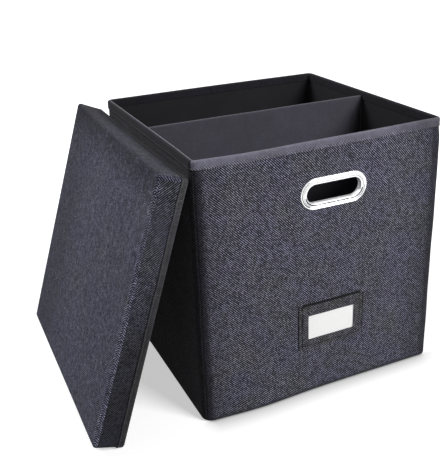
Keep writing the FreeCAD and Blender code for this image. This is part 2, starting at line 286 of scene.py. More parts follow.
weaves = {
    "caseCloth": {
        **coarse, "pitch": 0.0016, "pale": 6.1, "dark": 0.05, "sharp": 5.0, "slub": 0.2, "cell": 0.65,
        # smoothShade: the weave pulled smooth round the corners and at the foot, painted darker as shade
        "reliefShade": 0.4, "smoothShade": (0.9, 0.3, 0.224), "height": 0.0004, "bump": 0.6,
        "colours": ((69, 68, 82), (69, 69, 76)),
        # painted shade: darker towards the left wall, which lies in the lid's shadow, a touch lighter past it, and
        # darker towards the right end
        "paintedShades": [
            (0, -0.1795, -0.164, 0.32, 1.0), (0, -0.164, -0.130, 0.80, 1.05), (0, 0.12, 0.172, 1.0, 0.62)],
    },
    "lidCloth": {
        **coarse, "pale": 2.4, "dark": 0.55, "sharp": 2.0, "slub": 0.35, "cell": 0.65, "drift": 0.5,
        "driftSize": 0.009, "tintSize": 0.08, "roughness": 0.95, "gloss": 0.08,
        "colours": ((70, 70, 85), (71, 71, 82)),
        # edge: a painted highlight along the fold at the front end
        "edge": {"from": -0.157, "to": -0.1645, "pale": 1.9, "dark": 0.4},
        # painted shade: a touch lighter over most of the face, darker towards the rear end and towards the top
        "paintedShades": [(1, 0.04, 0.15, 1.08, 0.68), (2, 0.315, 0.357, 1.0, 0.38)],
    },
    # the lid's cloth on its skirt, its weave turned, in darker colours as painted shade that deepens towards the
    # floor
    "skirtShadedCloth": {
        **coarse, "pale": 5.6, "dark": 0.05, "sharp": 4.0, "lean": -1.0, "slub": 0.25, "reliefShade": 0.3,
        "drift": 0.3, "roughness": 0.93, "gloss": 0.08, "sheen": 0.03, "height": 0.0004, "bump": 0.6,
        "colours": ((57, 57, 68), (56, 56, 61)),
        "lowShade": (0.08, 0.22, 0.75, 0.3, 0.36), "paintedShades": [(2, 0.13, 0.24, 0.68, 1.0)],
    },
    # the wall's cloth pressed smooth over the rim: its lighter colours are partly painted sheen, and it is painted
    # darker towards the right end, as shade
    "hemCloth": {
        **folded, "pale": 2.9, "dark": 0.3, "sharp": 3.0, "cell": 0.5,
        "colours": ((98, 96, 110), (93, 92, 101)),
        "calm": (0.0005, 0.0055, 0.8, 0.0, 1.15), "paintedShades": [(0, 0.08, 0.15, 1.0, 0.58)],
    },
    # a darker copy of the hem cloth: painted shade
    "hemShadedCloth": {
        **folded, "pitch": 0.0013, "pale": 1.5, "dark": 0.75, "sharp": 1.0, "slub": 0.15, "cell": 0.2,
        "driftSize": 0.02, "gloss": 0.12, "sheen": 0.05,
        "colours": ((30, 29, 36), (27, 27, 31)),
    },
    "lidHemCloth": {
        **folded, "pale": 2.0, "dark": 0.6, "sharp": 2.0, "cell": 0.4, "drift": 0.22,
        # painted shade: darker towards the floor
        "colours": ((66, 65, 71), (64, 64, 65)), "paintedShades": [(2, 0.14, 0.32, 0.45, 0.9)],
    },
    "pocketCloth": {
        **coarse, "pale": 4.0, "dark": 0.25, "sharp": 4.0, "drift": 0.24, "driftSize": 0.015,
        "gloss": 0.15, "sheen": 0.1, "colours": ((66, 65, 73), (66, 66, 68)),
    },
    "sleeveCloth": {
        **fine, "pitch": 0.001, "cell": 0.12, "drift": 0.12, "driftSize": 0.03, "gloss": 0.25, "sheen": 0.1,
        "height": 0.00015, "colours": ((60, 59, 70), (57, 56, 63)),
    },
    "liningCloth": {
        **fine, "pitch": 0.0009, "cell": 0.15, "drift": 0.14, "driftSize": 0.04, "gloss": 0.2, "sheen": 0.03,
        "height": 0.00012, "colours": ((25, 25, 30), (23, 23, 26)),
    },
}
cloths = {name: wovenMaterial(name, look) for name, look in weaves.items()}


def plainMaterial(name, look):
    # Fine noise is the relief. Where the look has two colours, 0.6 of that noise and 0.4 of a slow drift mix them,
    # and where it has two values of roughness, a slow drift passes between those.
    made, tree, shader = newMaterial(name)
    at = objectPoint(tree)
    grain = noise(tree, at, 1 / look["grain"], *look["detail"])
    fill(tree, shader, {**look["inputs"], "Normal": bump(tree, grain, look["height"], 0.5)})
    if "colours" in look:
        slow = noise(tree, at, 1 / look["driftSize"])
        share = spread(tree, calc(tree, "MULTIPLY_ADD", grain, 0.6, times(tree, slow, 0.4)), 0.3, 0.7)
        fill(tree, shader, {"Base Color": blendColour(tree, share, *map(linear, look["colours"]))})
    if "roughness" in look:
        drift = noise(tree, at, 1 / look["driftSize"], 3.0)
        fill(tree, shader, {"Roughness": spread(tree, drift, 0.3, 0.7, *look["roughness"])})
    return made


plated = {"driftSize": 0.02, "grain": 0.001, "detail": [2.0], "height": 0.000005}
chrome = plainMaterial("ringChrome", {
    **plated, "inputs": {"Metallic": 0.6, "Base Color": linear((238, 238, 239))}, "roughness": (0.2, 0.28)})
# a dark, rough finish that paints shade and dark reflection into the ring's hollows
ringShade = plainMaterial("ringShade", {
    **plated, "inputs": {"Metallic": 0.0, "Base Color": linear((14, 14, 17))}, "roughness": (0.7, 0.85)})
washerSteel = plainMaterial("washerSteel", {
    "inputs": {"Metallic": 1.0, "Base Color": linear((205, 205, 208))}, "roughness": (0.25, 0.38),
    "driftSize": 0.01, "grain": 0.0005, "detail": [2.0], "height": 0.00003})
paper = {"driftSize": 0.02, "detail": (4.0, 0.65), "inputs": {"Roughness": 0.8, "Specular IOR Level": 0.2}}
greyboard = plainMaterial("greyboard", {
    **paper, "grain": 0.0008, "driftSize": 0.03, "colours": ((128, 124, 116), (160, 156, 148)), "height": 0.0001,
    "inputs": {"Roughness": 0.9, "Specular IOR Level": 0.2}})
cardPaper = plainMaterial("cardPaper", {
    **paper, "grain": 0.0006, "colours": ((250, 250, 249), (255, 255, 254)), "height": 0.00002})
stitchThread = plainMaterial("stitchThread", {
    **paper, "grain": 0.0003, "colours": ((70, 69, 78), (112, 110, 122)), "height": 0.0001})
# near-black: the thread of the pocket's stitches, and the painted shadow over the pocket's mouth
darkThreadAndShadow = plainMaterial("darkThreadAndShadow", {
    **paper, "grain": 0.0003, "colours": ((6, 6, 8), (15, 15, 18)), "height": 0.0001,
    "inputs": {"Roughness": 0.85, "Specular IOR Level": 0.2}})
clearFilm = plainMaterial("clearFilm", {
    "inputs": {"Base Color": linear((255, 255, 255)), "Alpha": 0.05, "Roughness": 0.12, "IOR": 1.46},
    "grain": 0.03, "detail": [1.0], "height": 0.0002})
print("materials made")


def outline(width, depth, radius, spacing, cornerSteps=12):
    # Rounded rectangle about the origin, walked from the middle of its first corner along the front and round. A
    # sample is a point of the inner rectangle and a unit normal: moved inward by d it lies at
    # centre + (radius - d) * normal. The middles are the samples at the middles of the corners.
    across, along = width / 2 - radius, depth / 2 - radius
    corners = np.array([(-across, -along), (across, -along), (across, along), (-across, along)])
    centres, angles, arc = [], [], np.linspace(0, 1, cornerSteps // 2 + 1)[:-1]
    for side in range(4):
        start, end = corners[side], corners[(side + 1) % 4]
        steps = math.ceil(np.linalg.norm(end - start) / spacing - 1e-6)
        share = np.r_[arc * 0, np.arange(steps + 1) / max(steps, 1), arc[1:] * 0 + 1]
        turn = np.r_[arc - 1, np.zeros(steps + 1), arc[1:]]
        centres.append(start + (end - start) * share[:, None])
        angles.append(math.radians(270 + 90 * side) + turn * math.pi / 4)
    angle = np.concatenate(angles)
    return {
        "centre": np.concatenate(centres), "normal": np.stack([np.cos(angle), np.sin(angle)], 1),
        "radius": radius, "halves": np.array([across, along]), "middles": np.cumsum([0, *map(len, angles)]),
    }


def swept(path, inset, height):
    # Every sample of the outline moved inward by each inset, at that inset's height: (samples, insets, 3). Past the
    # corner radius the inner rectangle shrinks instead, by what is left of the inset.
    inset = np.asarray(inset, float)
    reach = np.maximum(path["radius"] - inset, 0)
    pull = np.maximum(inset - path["radius"], 0)[:, None] / np.maximum(path["halves"], 1e-6)
    flat = path["centre"][:, None] * (1 - pull) + reach[None, :, None] * path["normal"][:, None]
    tall = np.broadcast_to(np.asarray(height, float), flat.shape[:2])
    return np.concatenate([flat, tall[..., None]], 2)


def rounded(radius, count):
    # a quarter turn from flat to upright, as how far it is inward and how far up
    turn = np.linspace(0, math.pi / 2, count)
    return radius * (1 - np.sin(turn)), radius * (1 - np.cos(turn))


def gridQuads(n, m, closed):
    # corner numbers of every cell of an n by m grid, closed round its first direction or not
    i, j = np.meshgrid(np.arange(n if closed else n - 1), np.arange(m - 1), indexing="ij")
    i, j = i.ravel(), j.ravel()
    k = (i + 1) % n
    return np.stack([i * m + j, k * m + j, k * m + j + 1, i * m + j + 1], 1)


def capFan(ring, pole):
    # triangles from a ring of points to a pole, as quads whose last corner is repeated
    return np.stack([ring, np.roll(ring, -1), np.full_like(ring, pole), np.full_like(ring, pole)], 1)


def domed(grid, pole):
    # a grid closed round its first direction, whose last ring is closed by triangles to a pole
    n, m = grid.shape[:2]
    quads = np.concatenate([gridQuads(n, m, True), capFan(np.arange(n) * m + m - 1, n * m)])
    return np.concatenate([grid.reshape(-1, 3), [pole]]), quads


def tube(grid):
    # a grid closed round its first direction, with triangles at both ends to the middle of the end ring
    n, m = grid.shape[:2]
    start = np.arange(n) * m
    ends = [capFan(start[::-1], n * m), capFan(start + m - 1, n * m + 1)]
    points = np.concatenate([grid.reshape(-1, 3), grid[:, [0, -1]].mean(0)])
    return points, np.concatenate([gridQuads(n, m, True), *ends])


def makePiece(name, points, quads, material, body, slot, about=None, place=None, uv=None, thickness=0, replaced=None):
    # Turns arrays into a mesh. A quad with its last corner repeated is a triangle. Faces look away from about.
    # Without its own UV a piece gets, face by face, the two axes across which the face lies. Thickness goes inwards.
    points = np.asarray(points, float).reshape(-1, 3)
    corner = points[quads]
    normal = np.cross(corner[:, 2] - corner[:, 0], corner[:, 3] - corner[:, 1])
    flip = about is not None and ((corner.mean(1) - np.asarray(about, float)) * normal).sum() < 0
    if uv is None:
        pair = np.array([(1, 2), (0, 2), (0, 1)])[np.abs(normal).argmax(1)]
        uv = np.take_along_axis(corner, np.repeat(pair[:, None, :], 4, 1), 2)
    if flip:
        quads, uv = quads[:, ::-1], uv[:, ::-1]
    keep = np.ones(quads.shape, bool)
    keep[quads[:, 0] == quads[:, 1], 0] = False
    keep[quads[:, 2] == quads[:, 3], 3] = False
    used, inverse = np.unique(quads, return_inverse=True)
    quads = inverse.reshape(quads.shape)
    sizes = keep.sum(1)
    mesh = bpy.data.meshes.new(name)
    mesh.vertices.add(len(used))
    mesh.vertices.foreach_set("co", points[used].ravel())
    mesh.loops.add(int(sizes.sum()))
    mesh.loops.foreach_set("vertex_index", quads[keep])
    mesh.polygons.add(len(quads))
    mesh.polygons.foreach_set("loop_start", np.r_[0, np.cumsum(sizes)[:-1]].astype(int))
    mesh.update(calc_edges=True)
    mesh.polygons.foreach_set("use_smooth", np.full(len(quads), True))
    layer = mesh.uv_layers.new(name="UVMap")
    layer.data.foreach_set("uv", uv[keep].astype(np.float32).ravel())
    if place is not None:
        mesh.transform(place)
    mesh.validate()
    mesh.update()
    thing = addObject(name, mesh)
    mesh.materials.append(material)
    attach(thing, body)
    if thickness:
        made = thing.modifiers.new("cloth", "SOLIDIFY")
        made.thickness, made.offset = thickness, -1
    if replaced:
        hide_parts(replaced)
    return thing


def secondMaterial(piece, material, where):
    piece.data.materials.append(material)
    piece.data.polygons.foreach_set("material_index", where.astype(int))


def walked(points, closed=True):
    # the length walked to each point, and one more for the whole way round
    step = np.linalg.norm(np.diff(points, axis=0, append=points[:1] if closed else points[-1:]), axis=1)
    return np.r_[0, np.cumsum(step)]


def pathUv(across, along, quads, n, m):
    # UV for a grid whose first direction is the length walked and whose second is the length of the profile
    i, j = np.divmod(quads, m)
    i = np.where(i - i[:, :1] < -1, i + n, i)
    return np.stack([across[i], along[j]], 2)


def eased(value, low, high):
    # 0 below low, 1 above high, and t * t * (3 - 2t) between
    t = np.clip((value - low) / (high - low), 0, 1)
    return t * t * (3 - 2 * t)


def bowed(points):
    # The front and back walls bulge: outward by bow * (1 - q^2)^2 * (1 + lean q) * (z / height)^steepness, with q
    # from -1 to 1 along the wall and no lean at the back. The front wall's top edge also sinks, by
    # dip * exp(-((q - dipAt) / dipWidth)^2) * (z / height)^steepness, and its foot bulges by
    # footBow * exp(-((q - footAt) / footWidth)^2) * (1 - q^8) * exp(-(z / footHeight)^2). Both of these fade with
    # the fourth power of the way from the front to the middle.
    points = np.array(points, float)
    x, y, z = np.moveaxis(points, -1, 0)
    q = np.clip(x / (case["width"] / 2 - case["cornerRadius"]), -1, 1)
    rise = np.clip(z / case["height"], 0, 1) ** case["bowSteepness"]
    swell = (1 - q ** 2) ** 2 * rise
    front = case["frontBow"] * swell * (1 + case["frontBowLean"] * q)
    back = case["backBow"] * swell
    points[..., 1] += np.where(y > 0, back, -front)
    toFront = np.clip(-2 * y / case["depth"], 0, 1) ** 4
    sink = case["dip"] * np.exp(-((q - case["dipAt"]) / case["dipWidth"]) ** 2)
    foot = case["footBow"] * np.exp(-((q - case["footAt"]) / case["footWidth"]) ** 2) * (1 - q ** 8)
    points[..., 1] -= foot * toFront * np.exp(-(z / case["footHeight"]) ** 2)
    points[..., 2] -= sink * toFront * rise
    return points


def cornerShift(path, z):
    # The front corners' radius differs from the path's by extra, and by nothing under the hem: each sample moves by
    # extra * (its normal - its place on the inner rectangle in shares of that rectangle's half sides).
    z = np.asarray(z, float)
    place = path["centre"] / path["halves"]
    extra = np.where(place[:, 0] < 0, case["leftRounding"], case["rightRounding"]) * (place[:, 1] < 0)
    below = 1 - eased(z, *case["roundingFall"])
    return (extra[:, None] * below)[..., None] * (path["normal"] - place)[:, None]


def ripple(points, normal, size):
    # three crossing sine waves of about 50 to 130 mm, added along the normal, that fade out at the floor
    x, y, z = np.moveaxis(points, -1, 0)
    wave = np.sin(61 * x + 37 * z + 1.3) + np.sin(83 * z - 47 * y + 0.4) + np.sin(71 * y + 53 * x - 29 * z)
    return points + normal * (size * wave * np.clip(z / case["rippleRise"], 0, 1))[..., None]


# clear is how far the wall's hole is larger than the oval, and snap the share of a cell that slides onto its edge
hole = {"centre": (0.0128, 0.2975), "width": 0.081, "height": 0.026, "clear": 0.0012, "snap": 0.6}


def holeDistance(x, z):
    # how far a point of the wall is outside the oval, and the direction away from it
    straight = (hole["width"] - hole["height"]) / 2
    dx, dz = x - hole["centre"][0], z - hole["centre"][1]
    over = np.sign(dx) * np.maximum(np.abs(dx) - straight, 0)
    far = np.hypot(over, dz)
    away = np.stack([over, dz], -1) / np.maximum(far, 1e-9)[..., None]
    return far - hole["height"] / 2 - hole["clear"], away


def cutHole(flat, quads):
    # grid points near the oval slide onto it, and the cells inside it go
    distance, away = holeDistance(flat[:, 0], flat[:, 2])
    near = np.abs(distance) < hole["snap"] * case["grid"]
    flat[near, 0] -= (distance[:, None] * away)[near, 0]
    flat[near, 2] -= (distance[:, None] * away)[near, 1]
    middle = flat[quads].mean(1)
    return flat, quads[holeDistance(middle[:, 0], middle[:, 2])[0] > 0]


casePath = outline(case["width"], case["depth"], case["cornerRadius"], case["grid"])
print("surface tools ready")

# what tells the outer cloths of the walls from their linings
outerWalls = {
    "name": "Cloth", "material": "caseCloth", "slot": "case_cloth", "thickness": case["cloth"],
    "replaced": "_cover", "rests": "_lining", "narrower": 0, "taller": 0.002,
}
innerWalls = {
    "name": "Lining", "material": "liningCloth", "slot": "lining_cloth", "thickness": case["lining"],
    "replaced": "_lining", "rests": "Cloth", "narrower": 2 * (case["cloth"] + case["board"]), "taller": -0.009,
    "foot": 0.0064, "underHem": 0.003, "rows": 90,
}


def splitWalls(grid, look):
    # a grid round the case, cut at the middles of its corners into four sheets, two of them with the hand hole
    grid = np.concatenate([grid, grid[:1]])
    for side, wall in enumerate(wallNames):
        part = grid[casePath["middles"][side]:casePath["middles"][side + 1] + 1]
        flat, quads = part.reshape(-1, 3).copy(), gridQuads(*part.shape[:2], False)
        if wall in ("front", "back"):
            flat, quads = cutHole(flat, quads)
        piece = makePiece(
            wall + look["name"], flat, quads, cloths[look["material"]], "case", look["slot"], inside,
            thickness=look["thickness"], replaced=wall + look["replaced"])


def wallCloths():
    # the outline carried up a quarter turn of the foot's radius, then straight up to under the hem
    top = case["height"] - case["underHem"]
    rows = math.ceil((top - case["footRadius"]) / case["grid"])
    inward, upward = rounded(case["footRadius"], 7)
    height = np.r_[upward, np.linspace(case["footRadius"], top, rows + 1)[1:]]
    whole = swept(casePath, np.r_[inward, np.zeros(rows)], height)
    whole[..., :2] += cornerShift(casePath, height)
    # the right wall takes the ends of its neighbours with it: sideBow * (the way from the middle)^4
    x, z = whole[..., 0], whole[..., 2]
    level = eased(z, *case["sideRise"]) * (1 - eased(z, *case["sideFall"]))
    whole[..., 0] += case["sideBow"] * np.clip(2 * x / case["width"], 0, 1) ** 4 * level
    outward = np.concatenate([casePath["normal"], np.zeros((len(casePath["normal"]), 1))], 1)[:, None]
    splitWalls(bowed(ripple(whole, outward, case["ripple"])), outerWalls)


def baseSheet():
    # the foot's outline filled in: rings shrink towards the middle in even shares and close on a pole
    edge = swept(casePath, [case["footRadius"]], 0)[:, 0, :2] + cornerShift(casePath, [0.0])[:, 0]
    shares = np.linspace(1, 0, 22)[:-1]
    rings = edge[:, None] * shares[None, :, None]
    grid = np.concatenate([rings, np.zeros(rings.shape[:2] + (1,))], 2)
    piece = makePiece(
        "baseCloth", *domed(bowed(grid), (0, 0, 0)), cloths["caseCloth"], "case", "base_cloth", inside,
        thickness=case["cloth"], replaced="bottom_cover")


wallCloths()
baseSheet()
print("case cloth made")


def stitches(name, places, along, out, look, material, body, slot, place=None):
    # One stitch is a capsule of six sides, as thick as radius * sqrt(1 - (1.9t)^6) with t from -0.5 to 0.5, whose
    # ends dip into the cloth by dip * (2t)^4. Every stitch is the same grid, set at its place along its seam.
    t = np.linspace(-0.5, 0.5, 6)
    thick = look["radius"] * np.sqrt(np.clip(1 - (1.9 * t) ** 6, 0.08, 1))
    turn = np.arange(6)[:, None] / 6 * 2 * math.pi
    drop = look["dip"] * (2 * t) ** 4
    shape, quads = tube(np.stack([
        np.repeat(t[None] * look["length"], 6, 0), thick * np.cos(turn), thick * np.sin(turn) - drop], 2))
    across = np.cross(out, along)
    points = (
        places[:, None] + along[:, None] * shape[None, :, :1] + across[:, None] * shape[None, :, 1:2]
        + out[:, None] * shape[None, :, 2:]
    )
    every = (quads[None] + np.arange(len(places))[:, None, None] * len(shape)).reshape(-1, 4)
    return makePiece(name, points, every, material, body, slot, place=place)


def evenly(points, pitch, closed=True, ahead=0.0004):
    # points at even steps along a line, with the line's direction there from a second point just ahead
    length = walked(points, closed)
    line = np.concatenate([points, points[:1]]) if closed else points
    length = length[:len(line)]
    count = int(length[-1] / pitch)
    at = (np.arange(count) + 0.5) * length[-1] / count
    place, further = (
        np.stack([np.interp(where, length, line[:, k]) for k in range(3)], 1) for where in (at, at + ahead))
    along = further - place
    return place, along / np.linalg.norm(along, axis=1)[:, None]


def hemProfile(layersIn, look):
    # Up the outer leg, over the wall on half an ellipse, and down the inner leg. The outer leg's lower end is a
    # fold of cloth that stands a little proud: leg + fold * exp(-(height above the edge / foldHeight)^2).
    outer, inner = -look["leg"], layersIn + look["leg"]
    half, middle = (inner - outer) / 2, (inner + outer) / 2
    rise = look["rise"]
    straight = np.linspace(0, look["height"] - rise, 9)
    swell = look["fold"] * np.exp(-(straight / look["foldHeight"]) ** 2)
    turn = np.linspace(math.pi, 0, 15)[1:-1]
    inset = np.r_[outer - swell, middle + half * np.cos(turn), np.full(9, inner)]
    height = np.r_[straight, look["height"] - rise + rise * np.sin(turn), straight[::-1]]
    return inset, height - look["height"]


def hemRing(names, path, layersIn, top, look, cloth, body, replaced, about, place=None, shaped=None):
    # The hem's profile carried round the outline. Its lower edge wavers by two sines of the length walked, with a row
    # of stitches along it. The roll, the inner leg and the side away from the light take a darker copy: painted
    # shade.
    inset, height = hemProfile(layersIn, look)
    grid = swept(path, inset, top + height)
    length = walked(grid[:, 0])
    long, short = (2 * math.pi / size for size in look["waverSizes"])
    sag = look["waver"] * (np.sin(length[:-1] * long) + np.sin(length[:-1] * short + 1.0))
    grid[:, :3, 2] += sag[:, None]
    if shaped:
        grid = shaped(grid)
    n, m = grid.shape[:2]
    quads = gridQuads(n, m, True)
    uv = pathUv(length, walked(grid[0], False), quads, n, m)
    piece = makePiece(
        names[0], grid, quads, cloths[cloth], body, "hem_cloth", about, place, uv, look["thickness"], replaced)
    step, side = quads[:, 0] % m, path["normal"][quads[:, 0] // m]
    roll = look["rollFrom"]
    # painted shade: on the left wall all but a thin strip at the start of the roll, elsewhere the roll and inner leg,
    # and on the lid also its top side
    if look["shadedSide"] == "left":
        dark = np.where(side[:, 0] < -0.8, (step < roll) | (step > roll + 1), step >= roll)
    else:
        dark = (step >= roll) | (side[:, 1] > 0.8)
    secondMaterial(piece, cloths["hemShadedCloth"], dark)
    seam = grid[:, 2].copy()
    seam[:, :2] += path["normal"] * look["stitchOut"]
    at, along = evenly(seam, look["stitchPitch"])
    near = np.argmin(((at[:, None] - seam[None]) ** 2).sum(2), 1)
    out = np.concatenate([path["normal"][near], np.zeros((len(near), 1))], 1)
    out -= along * (out * along).sum(1)[:, None]
    out /= np.linalg.norm(out, axis=1)[:, None]
    return piece, stitches(names[1], at, along, out, look, stitchThread, body, "hem_cloth", place)


rimHemLook = {
    "height": 0.012, "leg": 0.0008, "rise": 0.0032, "fold": 0.0002, "foldHeight": 0.002, "thickness": 0.0006,
    "waver": 0.00018, "waverSizes": (0.11, 0.043), "rollFrom": 15, "shadedSide": "left",
    "stitchOut": 0.0001, "stitchPitch": 0.0036, "length": 0.0024, "radius": 0.00022, "dip": 0.0003,
}
rimHem, rimStitches = hemRing(
    ("rimHem", "rimStitches"), casePath, layers, case["height"], rimHemLook, "hemCloth", "case", "rim_hem", inside,
    shaped=bowed)
print("rim hem made")


def wallLinings():
    # the same outline as the outer cloth, moved in by cloth and board, from the foot to under the hem
    inset = case["cloth"] + case["board"]
    height = np.linspace(innerWalls["foot"], case["height"] - innerWalls["underHem"], innerWalls["rows"])
    whole = swept(casePath, np.full(len(height), inset), height)
    whole[..., :2] += cornerShift(casePath, height)
    splitWalls(bowed(whole), innerWalls)


wallBoard = {"margin": 0.001, "underHem": 0.003, "columns": 87, "rows": 92}


def wallBoards(look):
    # flat grids just inside the outer cloth, bent by the same bow, with the wall's hole
    across = case["width"] / 2 - case["cornerRadius"] - look["margin"]
    xs = np.linspace(-across, across, look["columns"])
    zs = np.linspace(case["footRadius"], case["height"] - look["underHem"], look["rows"])
    x, z = np.meshgrid(xs, zs, indexing="ij")
    for wall, sign in (("front", -1), ("back", 1)):
        y = np.full_like(x, sign * (case["depth"] / 2 - case["cloth"]))
        flat = bowed(np.stack([x, y, z], 2)).reshape(-1, 3)
        makePiece(
            wall + "Board", *cutHole(flat, gridQuads(len(xs), len(zs), False)), greyboard, "case", "greyboard",
            inside, thickness=case["board"], replaced=wall + "_board")


wallLinings()
wallBoards(wallBoard)
print("linings and boards made")

ring = {
    "flange": 0.0083, "foot": 0.0004, "beadWidth": 0.0018, "beadHeight": 0.0012, "groove": 0.0002,
    "grooveWidth": 0.0010, "crown": 0.0026, "peak": 0.0038, "lip": 0.0011, "lipHeight": 0.0015, "seam": 0.0016,
    "seamDepth": 0.6, "neck": 0.0010, "clinch": 0.0022, "clinchThickness": 0.0006, "clinchEase": (0.0003, 0.0002),
    "washerFlange": 0.0065, "washerThickness": 0.0012, "washerPlay": 0.0002, "washerEase": 0.0003,
    "spacing": 0.002, "cornerSteps": 40,
}


def ringSection(look):
    # Section from the flange's foot inwards: a half-round bead, a groove, a dome whose height is a sine of the way to
    # its peak and a cosine of the way down, a narrow seam, a quarter-round lip, the neck and the clinched edge.
    # Also gives the segments that take painted shade: the foot under the bead, the groove and the seam.
    flange, floor = look["flange"], look["groove"]
    t = np.linspace(0, math.pi, 9)
    beadOut = flange - look["beadWidth"] / 2 * (1 - np.cos(t))
    beadUp = floor + (look["beadHeight"] - floor) * np.sin(t) ** 0.8
    start = flange - look["beadWidth"] - look["grooveWidth"]
    up = np.linspace(0, math.pi / 2, 10)
    riseOut = look["peak"] + (start - look["peak"]) * (1 - np.sin(up))
    riseUp = floor + (look["crown"] - floor) * np.sin(up) ** 0.7
    down = np.linspace(0, math.pi / 2, 9)[1:]
    fallEnd, seamUp = look["lip"] + look["seam"], look["lipHeight"] * look["seamDepth"]
    fallOut = fallEnd + (look["peak"] - fallEnd) * (1 - np.sin(down))
    fallUp = seamUp + (look["crown"] - seamUp) * np.cos(down) ** 0.8
    lipOut, lipDown = rounded(look["lip"], 6)
    tail = -(layers + look["washerThickness"])
    edge, (ease, back) = tail - look["clinchThickness"], look["clinchEase"]
    clinch, neck = look["clinch"], look["neck"]
    backOut = [0.0, ease, clinch - ease, clinch, clinch, neck, neck, neck]
    backUp = [tail, edge, edge, edge + back, tail, tail, -ease, 0.0]
    out = np.r_[flange + look["foot"], beadOut, riseOut, fallOut, lipOut, backOut]
    high = np.r_[0.0, beadUp, riseUp, fallUp, look["lipHeight"] - lipDown, backUp]
    return out, high, (0, len(beadOut), len(beadOut) + len(riseOut) + len(fallOut))


def washerSection(look):
    # flat strip with its outer corners eased
    inner, outer, ease = look["neck"] + look["washerPlay"], look["washerFlange"], look["washerEase"]
    front, back = -layers, -(layers + look["washerThickness"])
    out = np.array([inner, inner, outer - ease, outer, outer, outer - ease])
    high = np.array([front, back, back, back + ease, front - ease, front])
    return out, high, ()


def ovalSweep(name, out, high, shaded, sign, material, slot, replaced):
    # a closed section carried round the oval: out is the distance from its edge, high that in front of the wall
    path = outline(hole["width"], hole["height"], hole["height"] / 2, ring["spacing"], ring["cornerSteps"])
    grid = swept(path, -out, high)
    x, z, raised = grid[..., 0] + hole["centre"][0], grid[..., 1] + hole["centre"][1], grid[..., 2]
    points = bowed(np.stack([x, np.full_like(x, sign * case["depth"] / 2), z], 2))
    points[..., 1] += sign * raised
    n, m = x.shape
    first = np.arange(n) * m
    around = np.roll(first, -1)
    last = np.stack([first + m - 1, around + m - 1, around, first], 1)
    quads = np.concatenate([gridQuads(n, m, True), last])
    centre = (hole["centre"][0], sign * case["depth"] / 2, hole["centre"][1])
    piece = makePiece(name, points, quads, material, "case", slot, centre, replaced=replaced)
    if shaded:
        step, side = quads[:, 0] % m, path["normal"][quads[:, 0] // m]
        # painted shade and dark reflection: the foot and the groove only at the left end, the seam only along the
        # lower side
        paintedDark = (np.isin(step, shaded[:2]) & (side[:, 0] < -0.4)) | ((step == shaded[2]) & (side[:, 1] < -0.2))
        secondMaterial(piece, ringShade, paintedDark)


for wall, sign in (("front", -1), ("back", 1)):
    ovalSweep(wall + "Ring", *ringSection(ring), sign, chrome, "ring_metal", wall + "_hand_ring")
    ovalSweep(wall + "Washer", *washerSection(ring), sign, washerSteel, "washer_metal", wall + "_hand_washer")
print("hand rings made")

# From rowDip on, a pair is a height and the length over which it fades. Shares place the rings between the patch's
# outline and the window's: its own edge, the next ring, and the first and last of the even ones.
pocket = {
    "width": 0.103, "height": 0.069, "centre": (0.0122, 0.1061), "cornerRadius": 0.003,
    "window": (0.0719, 0.0355), "windowCentre": (0.01195, 0.10535), "windowRadius": 0.0015,
    "cloth": 0.0008, "lift": 0.0020, "sewn": 0.00095, "seam": 0.0037, "open": 0.0088, "edge": 0.0006,
    "stitchPitch": 0.0030, "length": 0.0024, "radius": 0.0007, "dip": 0.0003, "rows": (0.0009, 0.0062),
    "shadowTape": (0.002, 0.0011), "shadowTapeInset": 0.003, "rowDip": (0.00022, 0.0009), "edgeRise": (0.00016, 0.0012),
    "gape": (0.0007, 0.009), "mouthFold": (0.0002, 0.0045), "waver": (0.00012, 0.01), "turnedIn": 0.0002,
    "rowTop": 0.001, "rowSunk": 0.00005, "shares": (0.0, 0.012, 0.04, 0.985), "rings": 26, "grid": 0.0016,
    "cornerSteps": 8,
}


def pocketSides(look):
    (x, z), wide, tall = look["centre"], look["width"] / 2, look["height"] / 2
    return x - wide, x + wide, z - tall, z + tall


def pocketHeight(x, z, look):
    # Height over the wall: sewn flat near the left, right and lower edges, then a smooth step up to the lift. It
    # dips along the inner row of stitches, rises at the edge, and has a double fold at the mouth, which gapes most
    # in its middle. Dips and rises are height * exp(-(distance / length)^2), the fold with the fourth power.
    left, right, foot, top = pocketSides(look)
    left, right, foot, top = x - left, right - x, z - foot, top - z
    inward = np.minimum(np.minimum(left, right), foot)
    t = np.clip((inward - look["seam"]) / (look["open"] - look["seam"]), 0, 1)
    high = look["sewn"] + (look["lift"] - look["sewn"]) * eased(inward, look["seam"], look["open"])
    for key, away, sign in (("rowDip", inward - look["rows"][1], -1), ("edgeRise", inward, 1)):
        size, reach = look[key]
        high = high + sign * size * np.exp(-(away / reach) ** 2)
    gape, gapeReach = look["gape"]
    along = np.clip(left / look["width"], 0, 1)
    high = high + gape * np.exp(-(top / gapeReach) ** 2) * np.sin(math.pi * along) ** 2 * t
    fold, foldReach = look["mouthFold"]
    waver, waverReach = look["waver"]
    high = high + fold * np.exp(-(top / foldReach) ** 4) * t
    return high + waver * np.sin(170 * x + 60 * z) * t * np.clip(top / waverReach, 0.2, 1)


